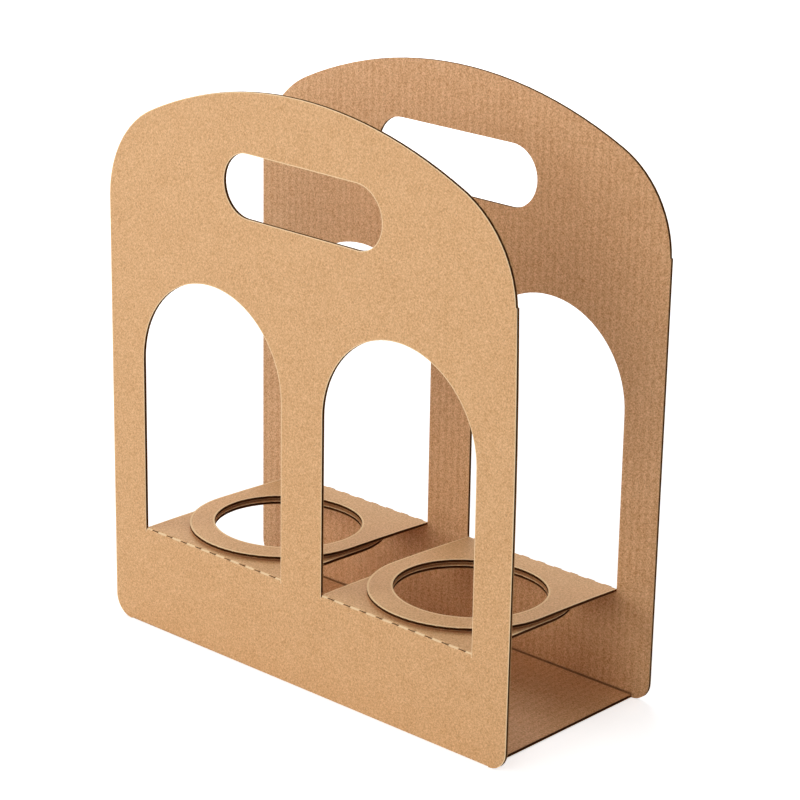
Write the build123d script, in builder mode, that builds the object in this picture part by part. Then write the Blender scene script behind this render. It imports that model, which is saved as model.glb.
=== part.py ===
from build123d import *
import os
from math import asin, atan, cos, degrees, radians, sin, sqrt

# Carrier for two cups, die-cut and folded from one sheet of corrugated board.
# X runs along the width, Y from the front panel to the back panel and Z up.
# The origin is the middle of the floor's underside.

# The board and its folds
board = 1.5                 # thickness
bend_inner = 0.15           # inner radius of the flaps' folds
floor_bend = 0.8            # outer radius of the floor's folds
crease_depth = 0.75         # radius of the groove pressed into the floor's folds
knife_gap = 0.3             # cut line left open beside a flap's fold

# The cup flaps
cup_hole = 67.8             # diameter
ring_width = 9.3            # board left beside the hole
end_width = 12.1            # board left beyond the hole, at the round free end
flap_end_gap = 1.15         # from a flap's free end to the panel opposite
sill_height = 48.35         # top of the flaps at their folds
front_flap_gap = 1.15       # between the flaps, next to the front panel
back_flap_gap = 1.4         # between the flaps, next to the back panel

# The row of slits along each flap's fold
slit_pitch = 9.45
slit_length = 4.0
slit_width = 0.45           # opened by the fold
lip_radius = 0.8            # outer edge of the slits' lips

# The windows
jamb_height = 81.25         # straight sides, above the flaps
pillar_width = 24.5         # between the windows
side_width = 20.75          # beside the windows

# The hand hole
slot_length = 93.5
slot_width = 28.6
web_height = 34.6           # between the windows and the hand hole
crown_height = 29.2         # above the hand hole

# The panels' corners
corner_radius = 10.0        # at the bottom, where the floor ends too
shoulder_radius = 48.3
crown_radius = 215.4
shoulder_step = 0.6         # the top's cut starts this far inside the right side
step_rise = 1.5             # and this far above the shoulder's lowest point
side_draft = 0.8            # the right side leans out this much on its way up

# The front panel's right shoulder curls forward
curl_angle = 29.0           # the lines of the bend fall this steeply to the right
curl_start = 141.7          # from the origin, square to those lines
curl_radius = 1820.0

flap_width = cup_hole + 2 * ring_width
window_width = flap_width + 2 * knife_gap
window_x = (window_width + pillar_width) / 2
half_width = window_x + window_width / 2 + side_width
end_y = cup_hole / 2 + end_width
half_depth = end_y + flap_end_gap + board
floor_half = half_width - corner_radius

bend_outer = bend_inner + board
fold_z = sill_height - bend_outer
arch_z = sill_height + jamb_height
slot_z = arch_z + window_width / 2 + web_height + slot_width / 2
height = slot_z + slot_width / 2 + crown_height

# The crown's arc touches both shoulder arcs, half a step left of the middle
crown_x = -shoulder_step / 2
crown_z = height - crown_radius
shoulder_reach = half_width + crown_x - shoulder_radius
shoulder_rise = sqrt((crown_radius - shoulder_radius) ** 2 - shoulder_reach**2)
shoulder_z = crown_z + shoulder_rise
crown_angle = degrees(asin(shoulder_reach / (crown_radius - shoulder_radius)))
shoulder_angle = 90 - crown_angle
step_angle = degrees(asin(step_rise / shoulder_radius))

# A panel's outline, open where the floor's fold and the flaps' folds join it
with BuildSketch(Plane.XZ) as panel_outline:
    with BuildLine():
        base = Line((-floor_half, 0), (floor_half, 0))
        right_corner = JernArc(base @ 1, (1, 0), corner_radius - side_draft, 90)
        right_side = Line(right_corner @ 1, (half_width, shoulder_z + step_rise))
        right_shoulder = CenterArc(
            (crown_x + shoulder_reach, shoulder_z),
            shoulder_radius,
            step_angle,
            shoulder_angle - step_angle,
        )
        step = Line(right_side @ 1, right_shoulder @ 0)
        crown = JernArc(right_shoulder @ 1, right_shoulder % 1, crown_radius, 2 * crown_angle)
        left_shoulder = JernArc(crown @ 1, crown % 1, shoulder_radius, shoulder_angle)
        left_side = Line(left_shoulder @ 1, (-half_width, corner_radius))
        left_corner = JernArc(left_side @ 1, (0, -1), corner_radius, 90)
    make_face()
    with Locations((0, slot_z)):
        SlotOverall(slot_length, slot_width, mode=Mode.SUBTRACT)
    with Locations((-window_x, arch_z), (window_x, arch_z)):
        Circle(window_width / 2, mode=Mode.SUBTRACT)
        Rectangle(
            window_width,
            arch_z - fold_z,
            align=(Align.CENTER, Align.MAX),
            mode=Mode.SUBTRACT,
        )
    Rectangle(
        2 * floor_half,
        corner_radius,
        align=(Align.CENTER, Align.MIN),
        mode=Mode.SUBTRACT,
    )

# The back panel is flat
with BuildPart() as back_panel:
    with BuildSketch(Plane.XZ.offset(-half_depth)):
        add(panel_outline.sketch)
    extrude(amount=board)

# The front panel is flat up to the first line of its curl
curl = radians(curl_angle)
curl_plane = Plane(
    origin=(0, -half_depth, 0),
    x_dir=(sin(curl), 0, cos(curl)),
    z_dir=(cos(curl), 0, -sin(curl)),
)
with BuildPart() as front_panel:
    with BuildSketch(curl_plane):
        with BuildLine():
            flat = Line((-half_width, 0), (curl_start, 0))
            JernArc(flat @ 1, flat % 1, curl_radius, degrees(height / curl_radius))
            offset(amount=board, side=Side.RIGHT)
        make_face()
    extrude(amount=height, both=True)
    with BuildSketch(Plane.XZ.offset(half_depth)):
        add(panel_outline.sketch)
    extrude(amount=half_depth, both=True, mode=Mode.INTERSECT)

# The floor turns up into both panels, with a crease inside each fold
inner_corner = half_depth - board
with BuildPart() as floor:
    with BuildSketch(Plane.YZ) as floor_section:
        Rectangle(2 * half_depth, corner_radius, align=(Align.CENTER, Align.MIN))
        fillet(floor_section.vertices().group_by(Axis.Y)[0], floor_bend)
        with Locations((0, board)):
            Rectangle(
                2 * inner_corner,
                corner_radius,
                align=(Align.CENTER, Align.MIN),
                mode=Mode.SUBTRACT,
            )
        with Locations((-inner_corner, board), (inner_corner, board)):
            Circle(crease_depth, mode=Mode.SUBTRACT)
    extrude(amount=floor_half, both=True)

# A flap seen from above: straight sides, a round free end and the cup's hole
root_y = half_depth - bend_outer
with BuildSketch() as flap_outline:
    with Locations((0, end_y - flap_width / 2)):
        Circle(flap_width / 2)
        Rectangle(flap_width, 2 * half_depth, align=(Align.CENTER, Align.MAX))
    Circle(cup_hole / 2, mode=Mode.SUBTRACT)

# The back flap rises from its fold over the front flap and ends level
flap_reach = root_y + end_y
back_rise = board + front_flap_gap
back_angle = 2 * degrees(atan(back_rise / flap_reach))
back_bow_radius = (flap_reach**2 + back_rise**2) / (2 * back_rise)
with BuildPart() as back_flap:
    with BuildSketch(Plane.YZ):
        with BuildLine():
            fold = JernArc((half_depth, fold_z), (0, 1), bend_outer, 90 - back_angle)
            JernArc(fold @ 1, fold % 1, back_bow_radius, back_angle)
            offset(amount=board, side=Side.LEFT)
        make_face()
    extrude(amount=flap_width / 2, both=True)
    add(flap_outline.sketch.rotate(Axis.Z, 180))
    extrude(amount=sill_height + back_rise + board, mode=Mode.INTERSECT)

# The front flap leaves its fold level and sags to pass under the back flap
front_drop = board + back_flap_gap
front_bow_radius = (flap_reach**2 + front_drop**2) / (2 * front_drop)
front_angle = degrees(asin(flap_reach / front_bow_radius))
with BuildPart() as front_flap:
    with BuildSketch(Plane.YZ):
        with BuildLine():
            fold = JernArc((-half_depth, fold_z), (0, 1), bend_outer, -90)
            JernArc(fold @ 1, fold % 1, front_bow_radius, -front_angle)
            offset(amount=board, side=Side.RIGHT)
        make_face()
    extrude(amount=flap_width / 2, both=True)
    add(flap_outline.sketch)
    extrude(amount=sill_height + board, mode=Mode.INTERSECT)

# The slits of one flap's fold, in front: their lips keep a corner where the fold is round
slit_count = int(flap_width / slit_pitch)
slit_pattern = [slit_pitch * (i - (slit_count - 1) / 2) for i in range(slit_count)]
with BuildPart() as slit_lips:
    for x in slit_pattern:
        with BuildSketch(Plane.YZ.offset(x)) as lip_section:
            with BuildLine():
                Polyline(
                    (-half_depth, fold_z),
                    (-half_depth, sill_height),
                    (-root_y, sill_height),
                    close=True,
                )
            make_face()
            fillet(lip_section.vertices().group_by(Axis.X)[0].sort_by(Axis.Y)[-1], lip_radius)
        extrude(amount=slit_length / 2, both=True)

with BuildPart() as slit_cuts:
    for x in slit_pattern:
        with BuildSketch(Plane.YZ.offset(x)):
            with Locations(Location((-root_y, fold_z), 45)):
                Rectangle(slit_width, 2 * bend_outer, align=(Align.CENTER, Align.MIN))
        extrude(amount=slit_length / 2, both=True)

# The folded sheet
with BuildPart() as carrier:
    add(front_panel.part)
    add(back_panel.part)
    add(floor.part)
    with Locations((-window_x, 0), (window_x, 0)):
        add(front_flap.part)
        add(back_flap.part)
        add(slit_lips.part)
        add(slit_lips.part.mirror(Plane.XZ))
        add(slit_cuts.part, mode=Mode.SUBTRACT)
        add(slit_cuts.part.mirror(Plane.XZ), mode=Mode.SUBTRACT)

carrier.part.label = "carrier"
os.makedirs("parts", exist_ok=True)
export_step(carrier.part, "parts/carrier.step")
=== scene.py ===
# %% [markdown]
# A cup carrier, die-cut and folded from one sheet of corrugated board.
# This lesson dresses its imported model. The first cell loads that model, which is the frame that
# every piece is fitted to.

# %% Load the frame
import math
import bmesh
import bpy
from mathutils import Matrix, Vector


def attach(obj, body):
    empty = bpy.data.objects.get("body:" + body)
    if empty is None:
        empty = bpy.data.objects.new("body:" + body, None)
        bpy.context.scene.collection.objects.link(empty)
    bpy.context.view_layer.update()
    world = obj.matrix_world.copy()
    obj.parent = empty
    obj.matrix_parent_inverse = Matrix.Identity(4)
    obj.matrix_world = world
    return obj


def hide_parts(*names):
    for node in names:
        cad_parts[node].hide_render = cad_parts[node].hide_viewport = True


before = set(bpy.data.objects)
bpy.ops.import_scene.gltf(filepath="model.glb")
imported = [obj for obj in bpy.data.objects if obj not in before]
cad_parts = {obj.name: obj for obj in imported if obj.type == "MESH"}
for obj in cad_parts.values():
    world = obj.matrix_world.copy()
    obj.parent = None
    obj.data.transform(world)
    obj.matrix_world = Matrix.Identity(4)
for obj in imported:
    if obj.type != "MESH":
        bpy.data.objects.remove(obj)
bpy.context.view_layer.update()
carrier_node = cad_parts["carrier"]

# %% [markdown]
# Colours are written as they are seen, in sRGB hex, and one function turns them to the linear
# values that the renderer needs. A second one adds a node with its settings and links.

# %% Colour and node helpers
mm = 0.001


def tone(hex_code):
    values = []
    for i in (0, 2, 4):
        c = int(hex_code[i:i + 2], 16) / 255
        values.append(c / 12.92 if c <= 0.04045 else ((c + 0.055) / 1.055) ** 2.4)
    return (*values, 1.0)


def add_node(tree, kind, settings=None, inputs=None):
    node = tree.nodes.new(kind)
    for name, value in (settings or {}).items():
        setattr(node, name, value)
    for key, value in (inputs or {}).items():
        if isinstance(value, bpy.types.NodeSocket):
            tree.links.new(value, node.inputs[key])
        else:
            node.inputs[key].default_value = value
    return node


def new_material(name):
    material = bpy.data.materials.new(name)
    material.use_nodes = True
    material.node_tree.nodes.clear()
    return material, material.node_tree


print("white is", tone("FFFFFF"))

# %% [markdown]
# The photograph was taken with a long lens from the front right, a little above the carrier.
# Two angles, a slight roll and the lens bring the camera back to that place. Building its axes
# from the angles is exact, where turning it by eye is not.

# %% Camera
azimuth = math.radians(42.42)
elevation = math.radians(19.165)
roll = math.radians(0.972)
forward = Vector((
    -math.sin(azimuth) * math.cos(elevation),
    math.cos(azimuth) * math.cos(elevation),
    -math.sin(elevation),
))
level_right = Vector((math.cos(azimuth), math.sin(azimuth), 0.0))
level_up = level_right.cross(forward)
camera_place = (0.800633, -0.862681, 0.531932)
camera_right = math.cos(roll) * level_right + math.sin(roll) * level_up
camera_up = math.cos(roll) * level_up - math.sin(roll) * level_right
camera_data = bpy.data.cameras.new("camera")
camera_data.sensor_width = 36.0
camera_data.lens = 127.80
camera_data.clip_start = 0.05
camera_data.clip_end = 50.0
camera = bpy.data.objects.new("camera", camera_data)
bpy.context.scene.collection.objects.link(camera)
matrix = camera.matrix_world.copy()
for row in range(3):
    matrix[row][0] = camera_right[row]
    matrix[row][1] = camera_up[row]
    matrix[row][2] = -forward[row]
    matrix[row][3] = camera_place[row]
camera.matrix_world = matrix
bpy.context.scene.camera = camera
bpy.context.scene.view_settings.view_transform = "Standard"
print("camera at", tuple(round(v, 3) for v in camera.matrix_world.translation))

# %% [markdown]
# Corrugated board is two flat sheets of paper, the liners, glued to a wavy one between them,
# the fluting. A cut edge shows the wave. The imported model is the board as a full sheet, so its
# copy gets the hollows that lie on both sides of the wave, one long lens-shaped hollow for each
# half wave. They could be painted on the edges, but real hollows catch the light from any side.
# The sizes are the part's own, in millimetres, and the two papers are as thick as such board has
# them.

# %% Sizes of the board and its folds
board = 1.5
liner = 0.2
fluting = 0.18
pitch = 4.0                 # from one wave to the next
first_wave = 119.6          # a hollow behind the outer liner is centred here
half_wave = board / 2 - liner - fluting / 2
half_width = 120.0
floor_half = 110.0
half_depth = 48.65
sill_height = 48.35
bend_outer = 1.65
crease_depth = 0.75         # a groove inside the floor's folds
root_y = half_depth - bend_outer
window_x = 55.75
flap_half = 43.2
flap_reach = 93.0           # from the fold's end to the flap's free end
cup_hole = 67.8             # diameter
front_drop = 2.9            # the front flap sags by this much
back_rise = 2.65            # the back flap climbs by this much
curl_angle = math.radians(29.0)
curl_start = 141.7
curl_radius = 1820.0
front_radius = (flap_reach ** 2 + front_drop ** 2) / (2 * front_drop)
back_radius = (flap_reach ** 2 + back_rise ** 2) / (2 * back_rise)
print("half a wave is", round(half_wave, 2), "mm high")

# %% [markdown]
# Each part of the sheet lies somewhere else. A short function for each one takes a point of the
# flat board, which is its place across the waves, its depth below the outer face and its place
# along the waves, and gives the same point of the folded carrier. The front panel curls forward
# past a sloping line, and the flaps are arcs.


# %% Where the sheet lies
def on_back_panel(across, depth, along):
    return across, half_depth - depth, along


def curl_past(across, along):
    past = across * math.sin(curl_angle) + along * math.cos(curl_angle) - curl_start
    return max(0.0, past)


def on_front_panel(across, depth, along):
    curl = curl_past(across, along) ** 2 / (2 * curl_radius)
    return across, depth - half_depth - curl, along


def on_floor(across, depth, along):
    return across, along, depth


def on_front_flap(across, depth, along):
    sag = front_radius - math.sqrt(front_radius ** 2 - (along + root_y) ** 2)
    return across, along, sill_height - sag - depth


def on_back_flap(across, depth, along):
    sag = back_radius - math.sqrt(back_radius ** 2 - (along + flap_reach - root_y) ** 2)
    return across, along, sill_height + back_rise - sag - depth


print("free end of the back flap", on_back_flap(0, 0, root_y - flap_reach))

# %% [markdown]
# One hollow is modelled and repeated. A circle of ten corners is pressed into the lens
# shape, extruded from one row to the next along the wave, and copied across by an array. Then
# each point is moved to its place on the folded sheet. The rows are close where the board bows.


# %% A run of hollows
lens_steps = [-0.42, -0.3, -0.18, -0.06, 0.06, 0.18, 0.3, 0.42]     # in pitches


def wave_depth(across):
    return board / 2 + half_wave * math.cos(2 * math.pi * across / pitch)


def run_of_hollows(first, last, rows, place, behind_outer):
    start = first_wave if behind_outer else first_wave - pitch / 2
    lowest = math.ceil((first - start) / pitch)
    highest = math.floor((last - start) / pitch)
    if highest < lowest:
        return None
    bpy.ops.object.select_all(action="DESELECT")
    bpy.ops.mesh.primitive_circle_add(vertices=len(lens_steps) + 2, radius=1.0, fill_type="NGON")
    hollow = bpy.context.object
    lens = [(step * pitch, wave_depth(step * pitch) - fluting / 2) for step in lens_steps]
    lens = [(lens_steps[0] * pitch, liner)] + lens + [(lens_steps[-1] * pitch, liner)]
    if not behind_outer:
        lens = [(across, board - depth) for across, depth in lens]
    for vertex, (across, depth) in zip(hollow.data.vertices, lens):
        vertex.co = (across, depth, rows[0])
    bpy.ops.object.mode_set(mode="EDIT")
    bpy.ops.mesh.select_all(action="SELECT")
    for low, high in zip(rows, rows[1:]):
        bpy.ops.mesh.extrude_region_move(TRANSFORM_OT_translate={"value": (0, 0, high - low)})
    bpy.ops.object.mode_set(mode="OBJECT")
    repeat = hollow.modifiers.new("waves", "ARRAY")
    repeat.count = highest - lowest + 1
    repeat.use_relative_offset = False
    repeat.use_constant_offset = True
    repeat.constant_offset_displace = (pitch, 0, 0)
    bpy.ops.object.modifier_apply(modifier="waves")
    for vertex in hollow.data.vertices:
        across = vertex.co.x + start + lowest * pitch
        vertex.co = Vector(place(across, vertex.co.y, vertex.co.z)) * mm
    return hollow


# %% [markdown]
# On the panels the waves stand upright. They end below the windows' folds, where the board is
# pressed flat, and go on above them. Only the bottom corners outside the floor reach down to
# the table. The window, the hand hole and the outline need no care: what runs past the board
# cuts nothing.

# %% Hollows of the whole sheet
past_edge = 2               # each run goes this far beyond the board
below_table = -1
panel_foot = 3.2            # above the floor's folds
panel_row = 45              # the panels are flat up to here and further
fold_low = 45.4             # the windows' folds are pressed flat from here
fold_high = 49.2            # to here
flap_start = 45.4           # the flaps are pressed flat from here to their fold
flap_end = 46.6             # past their free end
floor_end = 45.2            # the floor is pressed flat from here to its folds
flap_rows = [-30, -15, 0, 15, 30]
curl_rows = [90, 115, 135, 155, 170, 185, 200, 215, 230, 245, 270]
flat_rows = [270]
clear_of_flap = 2.2         # a hollow centred this far beside a flap misses its fold
clear_of_floor = 1.9        # and this far beside the floor it misses the floor's folds
window_low = window_x - flap_half - clear_of_flap
window_high = window_x + flap_half + clear_of_flap
corner_edge = floor_half + clear_of_floor
runs = []
for place, above in ((on_front_panel, curl_rows), (on_back_panel, flat_rows)):
    for first, last in (
        (-half_width - past_edge, -corner_edge),
        (corner_edge, half_width + past_edge),
    ):
        runs.append((first, last, [below_table, panel_row, *above], place))
    for first, last in (
        (-corner_edge, -window_high),
        (-window_low, window_low),
        (window_high, corner_edge),
    ):
        runs.append((first, last, [panel_foot, panel_row, *above], place))
    for first, last in ((-window_high, -window_low), (window_low, window_high)):
        runs.append((first, last, [panel_foot, fold_low], place))
        runs.append((first, last, [fold_high, *above], place))
runs.append((-floor_half - past_edge, floor_half + past_edge, [-floor_end, floor_end], on_floor))
for side in (-window_x, window_x):
    first, last = side - flap_half - past_edge, side + flap_half + past_edge
    runs.append((first, last, [-flap_start, *flap_rows, flap_end], on_front_flap))
    runs.append((first, last, [-flap_end, *flap_rows, flap_start], on_back_flap))
print(len(runs), "places for runs")

# %% [markdown]
# Each run is made, and all of them are joined to one mesh that will be cut away. A boolean has to
# know inside from outside, so the normals are made to point out first.

# %% Make and join the hollows
hollows = []
for first, last, rows, place in runs:
    for behind_outer in (True, False):
        hollow = run_of_hollows(first, last, rows, place, behind_outer)
        if hollow:
            hollows.append(hollow)
bpy.ops.object.select_all(action="DESELECT")
for hollow in hollows:
    hollow.select_set(True)
bpy.context.view_layer.objects.active = hollows[0]
bpy.ops.object.join()
waves = bpy.context.object
waves.name = "wave_hollows"
bpy.ops.object.mode_set(mode="EDIT")
bpy.ops.mesh.select_all(action="SELECT")
bpy.ops.mesh.normals_make_consistent(inside=False)
bpy.ops.object.mode_set(mode="OBJECT")
print(len(hollows), "runs of hollows with", len(waves.data.polygons), "faces")

# %% [markdown]
# Kraft liner is unbleached brown paper: matt, slightly mottled, and full of short fibres, a few
# of them dark. Noise of three sizes gives that, the fibres drawn wider than real ones so that
# they show. Noise is weaker in the planes of its own grid, so it is turned askew to the panels.
# The paper sinks a little between the waves' tips, most on the inside, which is the faint
# washboard that gives corrugated board away: a sine across the waves goes to the bump, with the
# real depth, and the same sine also paints faint stripes of light and shade into the paper's
# colour, as the light would catch each ridge. Sink and the fibres' height are in millimetres.


# %% Kraft liner, inside and outside
askew_turn = (0.5, 0.7, 0.3)
cloud_tint = 0.06
fleck_tint = 0.22
fibre_height = 0.012


def kraft_liner(name, dark_fibres, pale_fibres, sink, ridge_painted_shade):
    material, tree = new_material(name)
    place = add_node(tree, "ShaderNodeTexCoord")
    askew = add_node(tree, "ShaderNodeMapping", {}, {
        "Vector": place.outputs["Object"], "Rotation": askew_turn})
    fibres = add_node(tree, "ShaderNodeTexNoise", {}, {
        "Vector": askew.outputs[0], "Scale": 1 / (0.75 * mm), "Detail": 2.0, "Roughness": 0.65})
    clouds = add_node(tree, "ShaderNodeTexNoise", {}, {
        "Vector": askew.outputs[0], "Scale": 1 / (11 * mm), "Detail": 4.0, "Roughness": 0.6})
    flecks = add_node(tree, "ShaderNodeTexNoise", {}, {
        "Vector": askew.outputs[0], "Scale": 1 / (0.8 * mm), "Detail": 0.0})
    split = add_node(tree, "ShaderNodeSeparateXYZ", {}, {0: place.outputs["Object"]})
    turn = add_node(tree, "ShaderNodeMath", {"operation": "MULTIPLY_ADD"}, {
        0: split.outputs["X"], 1: 2 * math.pi / (pitch * mm),
        2: -2 * math.pi * first_wave / pitch})
    wave = add_node(tree, "ShaderNodeMath", {"operation": "COSINE"}, {0: turn.outputs[0]})

    grain = add_node(tree, "ShaderNodeMapRange", {}, {
        "Value": fibres.outputs["Fac"], "From Min": 0.3, "From Max": 0.7,
        "To Min": 0.0, "To Max": 1.0})
    cloud = add_node(tree, "ShaderNodeMapRange", {}, {
        "Value": clouds.outputs["Fac"], "From Min": 0.3, "From Max": 0.7,
        "To Min": -cloud_tint, "To Max": cloud_tint})
    # the waves' sine paints faint light and shade along the ridges into the colour, on top of the
    # clouds
    ridge_shade_and_clouds = add_node(tree, "ShaderNodeMath", {"operation": "MULTIPLY_ADD"}, {
        0: wave.outputs[0], 1: ridge_painted_shade, 2: cloud.outputs[0]})
    level = add_node(tree, "ShaderNodeMath", {"operation": "ADD"}, {
        0: grain.outputs[0], 1: ridge_shade_and_clouds.outputs[0]})
    paper = add_node(tree, "ShaderNodeMix", {"data_type": "RGBA"}, {
        "Factor": level.outputs[0], "A": tone(dark_fibres), "B": tone(pale_fibres)})
    dark = add_node(tree, "ShaderNodeMapRange", {}, {
        "Value": flecks.outputs["Fac"], "From Min": 0.22, "From Max": 0.32,
        "To Min": fleck_tint, "To Max": 0.0})
    colour = add_node(tree, "ShaderNodeMix", {"data_type": "RGBA"}, {
        "Factor": dark.outputs[0], "A": paper.outputs["Result"], "B": tone("8A6238")})

    sunk = add_node(tree, "ShaderNodeMath", {"operation": "MULTIPLY"}, {
        0: wave.outputs[0], 1: -sink * mm})
    rough = add_node(tree, "ShaderNodeMath", {"operation": "MULTIPLY_ADD"}, {
        0: fibres.outputs["Fac"], 1: fibre_height * mm, 2: sunk.outputs[0]})
    bump = add_node(tree, "ShaderNodeBump", {}, {
        "Strength": 1.0, "Distance": 1.0, "Height": rough.outputs[0]})
    shader = add_node(tree, "ShaderNodeBsdfPrincipled", {}, {
        "Base Color": colour.outputs["Result"], "Roughness": 0.6,
        "Specular IOR Level": 0.5, "Normal": bump.outputs[0]})
    add_node(tree, "ShaderNodeOutputMaterial", {}, {"Surface": shader.outputs[0]})
    return material


# the last number is the strength of the painted light and shade on the washboard, most on the
# inside
outer_liner = kraft_liner("kraft liner, outside", "C9935A", "F5C692", 0.012, 0.01)
inner_liner = kraft_liner("kraft liner, inside", "BC844C", "F7CA9B", 0.035, 0.07)
print("liners:", outer_liner.name, "and", inner_liner.name)

# %% [markdown]
# The die crushes the outer liner where it cuts, and its torn fibres are paler than its face; the
# pale colour also paints the highlight that the crushed, rounded rim catches. The fluting is a
# cheaper, darker paper, and the core of a cut edge is mostly deep shade between its waves, so
# that shade is painted into the edge's colour as well. So the edge's colour goes with the depth
# below the outer face: an attribute of the mesh, named depth and given in millimetres, brings it
# to the material.

# %% Cut edge
raggedness = 0.16           # the layers' borders wander by this much
torn_height = 0.05
cut_edge, tree = new_material("kraft cut edge with painted shade and highlight")
place = add_node(tree, "ShaderNodeTexCoord")
depth = add_node(tree, "ShaderNodeAttribute", {"attribute_name": "depth"})
fibres = add_node(tree, "ShaderNodeTexNoise", {}, {
    "Vector": place.outputs["Object"], "Scale": 1 / (0.5 * mm), "Detail": 3.0, "Roughness": 0.6})
ragged = add_node(tree, "ShaderNodeMath", {"operation": "MULTIPLY_ADD"}, {
    0: fibres.outputs["Fac"], 1: raggedness, 2: depth.outputs["Fac"]})
layers = add_node(tree, "ShaderNodeValToRGB")
ramp = layers.color_ramp
# pale torn fibres with a painted highlight at the outer face, painted shade in the core, then the
# inner liner's paler torn rim
ramp.elements[0].position, ramp.elements[0].color = 0.0, tone("FFE0B4")
ramp.elements[1].position, ramp.elements[1].color = 0.19, tone("FFD9A8")
for position, code in ((0.25, "6E3414"), (0.72, "5A2A0C"), (0.83, "CFA070")):
    step = ramp.elements.new(position)
    step.color = tone(code)
share = add_node(tree, "ShaderNodeMath", {"operation": "DIVIDE"}, {0: ragged.outputs[0], 1: board})
tree.links.new(share.outputs[0], layers.inputs["Fac"])
height = add_node(tree, "ShaderNodeMath", {"operation": "MULTIPLY"}, {
    0: fibres.outputs["Fac"], 1: torn_height * mm})
bump = add_node(tree, "ShaderNodeBump", {}, {
    "Strength": 1.0, "Distance": 1.0, "Height": height.outputs[0]})
shader = add_node(tree, "ShaderNodeBsdfPrincipled", {}, {
    "Base Color": layers.outputs["Color"], "Roughness": 1.0,
    "Specular IOR Level": 0.0, "Normal": bump.outputs[0]})
add_node(tree, "ShaderNodeOutputMaterial", {}, {"Surface": shader.outputs[0]})
print(cut_edge.name, "has", len(ramp.elements), "layers")

# %% [markdown]
# Fluting is a plain brown paper, matt and darker than the liners. It is seen only inside the
# hollows, so one noise for its fibres is enough.

# %% Fluting paper
fluting_paper, tree = new_material("fluting paper")
place = add_node(tree, "ShaderNodeTexCoord")
fibres = add_node(tree, "ShaderNodeTexNoise", {}, {
    "Vector": place.outputs["Object"], "Scale": 1 / (0.6 * mm), "Detail": 3.0, "Roughness": 0.6})
colour = add_node(tree, "ShaderNodeMix", {"data_type": "RGBA"}, {
    "Factor": fibres.outputs["Fac"], "A": tone("54301A"), "B": tone("6E4426")})
shader = add_node(tree, "ShaderNodeBsdfPrincipled", {}, {
    "Base Color": colour.outputs["Result"], "Roughness": 1.0, "Specular IOR Level": 0.0})
add_node(tree, "ShaderNodeOutputMaterial", {}, {"Surface": shader.outputs[0]})
print(fluting_paper.name, "is ready")

# %% [markdown]
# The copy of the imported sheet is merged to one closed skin, and the hollows are cut from it
# with a boolean modifier, which brings the fluting paper along to the faces that it makes.

# %% Cut the hollows
outer_slot, inner_slot, edge_slot, fluting_slot = range(4)
merge_distance = 0.000002   # in metres


def describe(stage, mesh):
    skin = bmesh.new()
    skin.from_mesh(mesh)
    still_open = sum(1 for edge in skin.edges if not edge.is_manifold)
    volume = round(skin.calc_volume() / mm ** 3)
    print(stage, len(skin.faces), "faces,", still_open, "open edges,", volume, "cubic mm")
    skin.free()


sheet = carrier_node.copy()
sheet.data = carrier_node.data.copy()
sheet.name = "folded_board"
bpy.context.scene.collection.objects.link(sheet)
bpy.ops.object.select_all(action="DESELECT")
sheet.select_set(True)
bpy.context.view_layer.objects.active = sheet
bpy.ops.object.mode_set(mode="EDIT")
bpy.ops.mesh.select_all(action="SELECT")
bpy.ops.mesh.remove_doubles(threshold=merge_distance)
bpy.ops.object.mode_set(mode="OBJECT")
describe("full sheet:", sheet.data)
sheet.data.materials.clear()
for paper in (outer_liner, inner_liner, cut_edge, fluting_paper):
    sheet.data.materials.append(paper)
waves.data.materials.clear()
waves.data.materials.append(fluting_paper)
for polygon in sheet.data.polygons:
    polygon.material_index = outer_slot
cut = sheet.modifiers.new("hollows", "BOOLEAN")
cut.operation = "DIFFERENCE"
cut.object = waves
cut.solver = "MANIFOLD"
cut.material_mode = "TRANSFER"
bpy.ops.object.modifier_apply(modifier="hollows")
bpy.data.objects.remove(waves)
describe("with hollows:", sheet.data)

# %% [markdown]
# What a face is made of depends on where it lies, so a few small functions tell the folds and
# the panels from the rest. Their slack is in millimetres.

# %% Tell the folds from the rest
slack = 0.05
side_slack = 0.1
panel_slack = 0.15
above_folds = 50            # higher than the flaps' folds
mid_height = 10             # above the floor and below the flaps


def in_flap_fold(x, y, z):
    beside = abs(abs(x) - window_x) < flap_half + side_slack
    high = sill_height - bend_outer - slack < z < above_folds
    return beside and high and abs(y) > root_y - slack


def in_floor_fold(x, y, z):
    inner_y = half_depth - board - crease_depth
    low = z < board + crease_depth + slack
    return abs(x) < floor_half + side_slack and low and abs(y) > inner_y - slack


def in_panel(y):
    return abs(y) > half_depth - board - panel_slack


def from_bend(y, z):
    return abs(y) - root_y, z - sill_height + bend_outer


def from_crease(y, z):
    return math.hypot(abs(y) - half_depth + board, z - board)


print("a point of the flap's fold:", in_flap_fold(window_x, half_depth, sill_height - 1))

# %% [markdown]
# Every face that no hollow made is then sorted by the way it looks: outwards or inwards it is
# liner, and along the sheet it is a cut edge. Near a fold the board is bent, so there its outside
# looks away from the carrier at 45 degrees. The bottom of the crease pressed into the floor's
# folds takes the cut edge's material, a painted shade that shows as a dark line.

# %% Sort the faces
cut_most = 0.4              # a cut edge looks outwards by less than this
end_least = 0.3             # and a groove's end looks sideways by more than this


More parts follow.
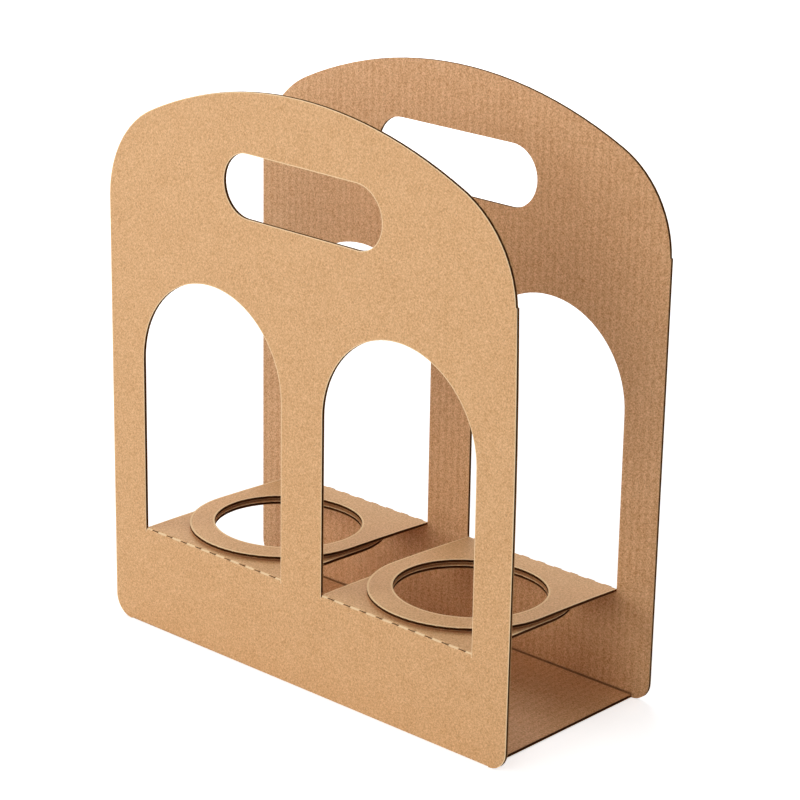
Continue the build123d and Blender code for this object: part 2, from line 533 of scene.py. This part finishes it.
def paper_of(centre, normal):
    x, y, z = centre / mm
    side = 1 if y > 0 else -1
    if in_flap_fold(x, y, z):
        outward = Vector((0, side, 1)).normalized().dot(normal)
    elif in_floor_fold(x, y, z):
        outward = Vector((0, side, -1)).normalized().dot(normal)
        # the bottom of a crease takes the dark edge colour: painted shade in the groove
        if from_crease(y, z) < crease_depth + slack and abs(normal.x) < end_least:
            return edge_slot if z < board + side_slack else inner_slot
    elif in_panel(y):
        outward = side * normal.y
    else:
        outward = normal.z if z > mid_height else -normal.z
    if abs(outward) < cut_most:
        return edge_slot
    return outer_slot if outward > 0 else inner_slot


count = [0, 0, 0, 0]
for polygon in sheet.data.polygons:
    if polygon.material_index == outer_slot:
        polygon.material_index = paper_of(polygon.center, polygon.normal)
    count[polygon.material_index] += 1
print("faces outside, inside, cut and fluting:", count)

# %% [markdown]
# The lips of the slits stand out past the bend beside them. On the real front folds they are
# pressed halfway back, so there every vertex beyond the bend moves half of its way towards it.

# %% Press the slits' lips
pressed = 0
for vertex in sheet.data.vertices:
    x, y, z = vertex.co / mm
    out, up = from_bend(y, z)
    reach = math.hypot(out, up)
    if y < 0 and in_flap_fold(x, y, z) and out > 0 and up > 0 and reach > bend_outer:
        share = (bend_outer + reach) / 2 / reach
        vertex.co.y = math.copysign(root_y + share * out, y) * mm
        vertex.co.z = (sill_height - bend_outer + share * up) * mm
        pressed += 1
print(pressed, "vertices pressed")

# %% [markdown]
# The crushed rim of the outer liner is a real band, made by insetting the outside faces. The
# photograph shows it wider on the flaps than on the panels. It takes the edge's material, whose
# outermost layer is the pale one: paler torn fibres and a painted highlight where the rounded rim
# catches the light. The middle of the bend between the slits, where the stretched liner catches
# the light, takes it too, as a painted highlight. A fold is no edge, so the band that insetting
# leaves beside it stays liner, and so does the front flap's band round its hole, which lies dark
# under the back flap.

# %% Crushed rim and painted highlights
panel_rim = 0.4
flap_rim = 0.8
hair = 0.02
flat_least = 0.9995         # flat faces look this straight along an axis
curled_least = 0.97         # and those of a curled or bowed part this
bend_highlight_span = (0.6, 1.6)    # out over up, so from 31 to 58 degrees
top_slack = 1
end_slack = 0.3
skin = bmesh.new()
skin.from_mesh(sheet.data)
panels, flaps = [], []
for face in skin.faces:
    x, y, z = face.calc_center_median() / mm
    in_fold = in_flap_fold(x, y, z)
    least = flat_least if in_fold or z < board else curled_least
    if face.material_index == outer_slot and max(abs(face.normal.y), abs(face.normal.z)) > least:
        (panels if abs(face.normal.y) > 0.5 or z < board else flaps).append(face)
    # the middle of the bend takes the pale edge colour: a painted highlight on the stretched liner
    elif face.material_index == outer_slot and in_fold:
        out, up = from_bend(y, z)
        in_bend_highlight = up > 0 and bend_highlight_span[0] < out / up < bend_highlight_span[1]
        if in_bend_highlight and math.hypot(out, up) < bend_outer + hair:
            face.material_index = edge_slot
rim = 0
for faces, width in ((panels, panel_rim), (flaps, flap_rim)):
    band = bmesh.ops.inset_region(
        skin, faces=faces, thickness=width * mm, use_even_offset=False, use_boundary=True)
    for face in band["faces"]:
        x, y, z = face.calc_center_median() / mm
        out, up = from_bend(y, z)
        beside_panel = abs(up) < width + side_slack
        on_top = sill_height - top_slack < z < sill_height + side_slack
        beside_flap = on_top and abs(out) < width + side_slack
        in_width = abs(abs(x) - window_x) < flap_half - end_slack
        along_fold = in_width and (beside_panel or beside_flap)
        from_hole = math.hypot(abs(x) - window_x, y) - cup_hole / 2
        under_flap = z < sill_height and from_hole < width
        if along_fold or under_flap or z < board:
            face.material_index = outer_slot
        # the rest of the band is the rim: paler torn fibres with a painted highlight
        else:
            face.material_index = edge_slot
            rim += 1
skin.to_mesh(sheet.data)
skin.free()
print(rim, "faces in the rim")
describe("with the rim:", sheet.data)

# %% [markdown]
# A vertex's depth follows from its place. In the photograph the dark core of a flap's edge,
# which is shade, reaches nearly to its lower face, so on the flaps the depth starts a little above
# zero and grows more slowly, spreading the painted shade. The crease in the floor's folds takes
# the colour of one depth all over, a painted shade.

# %% Depth below the outer face
flap_first_depth = 0.04
# a slower pace spreads the painted shade of the core over more of a flap's edge
flap_depth_pace = 0.773
# a depth in the dark core, so the crease shows as a painted shade
crease_shade_depth = 1.1


def flap_at(y, z):
    choices = []
    for radius, past, end in (
        (front_radius, y + root_y, 0.0),
        (back_radius, y + flap_reach - root_y, back_rise),
    ):
        level = math.sqrt(radius ** 2 - past ** 2)
        depth = sill_height + end - radius + level - z
        choices.append((abs(depth - board / 2), depth, Vector((0, past / radius, level / radius))))
    return min(choices, key=lambda choice: choice[0])[1:]


def depth_at(x, y, z):
    if in_flap_fold(x, y, z):
        return bend_outer - math.hypot(*from_bend(y, z))
    if in_floor_fold(x, y, z):
        in_crease = from_crease(y, z) < crease_depth + hair
        return crease_shade_depth if in_crease else min(half_depth - abs(y), z)
    if in_panel(y):
        curl = curl_past(x, z) ** 2 / (2 * curl_radius) if y < 0 else 0.0
        return half_depth + curl - abs(y)
    return z if z < mid_height else flap_first_depth + flap_depth_pace * flap_at(y, z)[0]


mesh = sheet.data
depths = mesh.attributes.new("depth", "FLOAT", "POINT")
for vertex in mesh.vertices:
    depths.data[vertex.index].value = depth_at(*(vertex.co / mm))
print("deepest", round(max(entry.value for entry in depths.data), 2), "mm")

# %% [markdown]
# Long thin faces shade unevenly where the sheet is bowed. So where the front panel curls and the
# flaps sag, the liners' faces get the exact normals of the bowed sheet. The lips of the slits
# and the cut edges keep the normals that smoothing by angle gives them.


# %% The sheet's own normals
liner_least = 0.9           # liner looks outwards or inwards by more than this


def outside_normal(x, y, z):
    out, up = from_bend(y, z)
    if in_flap_fold(x, y, z) and out > 0 and up > 0:
        return Vector((0, math.copysign(out, y), up)).normalized()
    if y < board - half_depth + panel_slack:
        lean = curl_past(x, z) / curl_radius
        return Vector((-lean * math.sin(curl_angle), -1, -lean * math.cos(curl_angle))).normalized()
    if y > half_depth - board - panel_slack:
        return Vector((0, 1, 0))
    return flap_at(y, z)[1]


for polygon in mesh.polygons:
    polygon.use_smooth = True
bpy.ops.object.shade_smooth_by_angle(angle=math.radians(30))
normals = [corner.vector.copy() for corner in mesh.corner_normals]
bowed = 0
for polygon in mesh.polygons:
    x, y, z = polygon.center / mm
    outward = outside_normal(x, y, z).dot(polygon.normal)
    lip = in_flap_fold(x, y, z) and math.hypot(*from_bend(y, z)) > bend_outer + hair
    if z < mid_height or lip or abs(outward) < liner_least:
        continue
    for corner in polygon.loop_indices:
        place = mesh.vertices[mesh.loops[corner].vertex_index].co / mm
        normals[corner] = outside_normal(*place) * (1 if outward > 0 else -1)
    bowed += 1
mesh.normals_split_custom_set(normals)
print(bowed, "faces take the sheet's own normals")

# %% [markdown]
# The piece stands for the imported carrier. It rides on the only body there is, because card has
# no joints at its folds.

# %% Take the carrier's place
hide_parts("carrier")
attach(sheet, "root")

# %% [markdown]
# The floor is a wide sheet of white paper. To the camera it glows a little, and more with the
# distance, so that it ends in white together with the world behind it. It still takes the
# carrier's soft shadow.

# %% Floor
bpy.ops.object.select_all(action="DESELECT")
bpy.ops.mesh.primitive_plane_add(size=6.0, location=(0, 0, 0))
studio_floor = bpy.context.object
studio_floor.name = "studio_floor"
white_paper, tree = new_material("white studio paper")
ray = add_node(tree, "ShaderNodeLightPath")
matt = add_node(tree, "ShaderNodeBsdfDiffuse", {}, {"Color": tone("F2F2F2")})
spot = add_node(tree, "ShaderNodeTexCoord")
away = add_node(tree, "ShaderNodeVectorMath", {"operation": "LENGTH"}, {0: spot.outputs["Object"]})
shine = add_node(tree, "ShaderNodeMapRange", {}, {
    "Value": away.outputs["Value"], "From Min": 0.4, "From Max": 1.2,
    "To Min": 0.62, "To Max": 1.0})
glow = add_node(tree, "ShaderNodeEmission", {}, {
    "Color": tone("FFFFFF"), "Strength": shine.outputs[0]})
both = add_node(tree, "ShaderNodeAddShader", {}, {0: matt.outputs[0], 1: glow.outputs[0]})
seen = add_node(tree, "ShaderNodeMixShader", {}, {
    0: ray.outputs["Is Camera Ray"], 1: matt.outputs[0], 2: both.outputs[0]})
add_node(tree, "ShaderNodeOutputMaterial", {}, {"Surface": seen.outputs[0]})
studio_floor.data.materials.append(white_paper)
print("floor:", white_paper.name)

# %% [markdown]
# The world is white to the camera and in reflections, which is the background. On the carrier it
# is only a weak light from all sides.

# %% World
world_fill = 0.225
world = bpy.data.worlds.new("studio")
bpy.context.scene.world = world
world.use_nodes = True
tree = world.node_tree
tree.nodes.clear()
ray = add_node(tree, "ShaderNodeLightPath")
gloss = add_node(tree, "ShaderNodeMath", {"operation": "MAXIMUM"}, {
    0: ray.outputs["Is Camera Ray"], 1: ray.outputs["Is Glossy Ray"]})
clear = add_node(tree, "ShaderNodeMath", {"operation": "MAXIMUM"}, {
    0: gloss.outputs[0], 1: ray.outputs["Is Transmission Ray"]})
fill = add_node(tree, "ShaderNodeBackground", {}, {"Color": tone("FFFFFF"), "Strength": world_fill})
white = add_node(tree, "ShaderNodeBackground", {}, {"Color": tone("FFFFFF"), "Strength": 1.0})
mixed = add_node(tree, "ShaderNodeMixShader", {}, {
    0: clear.outputs[0], 1: fill.outputs[0], 2: white.outputs[0]})
add_node(tree, "ShaderNodeOutputWorld", {}, {"Surface": mixed.outputs[0]})
print("world fill", world_fill)

# %% [markdown]
# The photograph is lit from the front and the left, so the inside of the carrier and the side
# that faces right are in soft shade. Three softboxes do that, and a weak one behind the carrier
# keeps its back readable. Sizes are in metres and powers in watts.

# %% Softboxes
aim = Vector((0, 0, 0.12))  # near the middle of the carrier


def softbox(name, place, size, power):
    data = bpy.data.lights.new(name, "AREA")
    data.shape = "SQUARE"
    data.size = size
    data.energy = power
    lamp = bpy.data.objects.new(name, data)
    bpy.context.scene.collection.objects.link(lamp)
    lamp.location = place
    lamp.rotation_euler = (aim - Vector(place)).to_track_quat("-Z", "Y").to_euler()


softbox("front_softbox", (0.2, -2.0, 1.0), 1.4, 15.6)
softbox("low_left_softbox", (-1.5, -1.3, 0.7), 1.0, 13.0)
softbox("high_left_softbox", (-1.2, 0.8, 1.9), 1.4, 18.5)
softbox("back_softbox", (0.6, 2.0, 1.2), 1.4, 4.5)
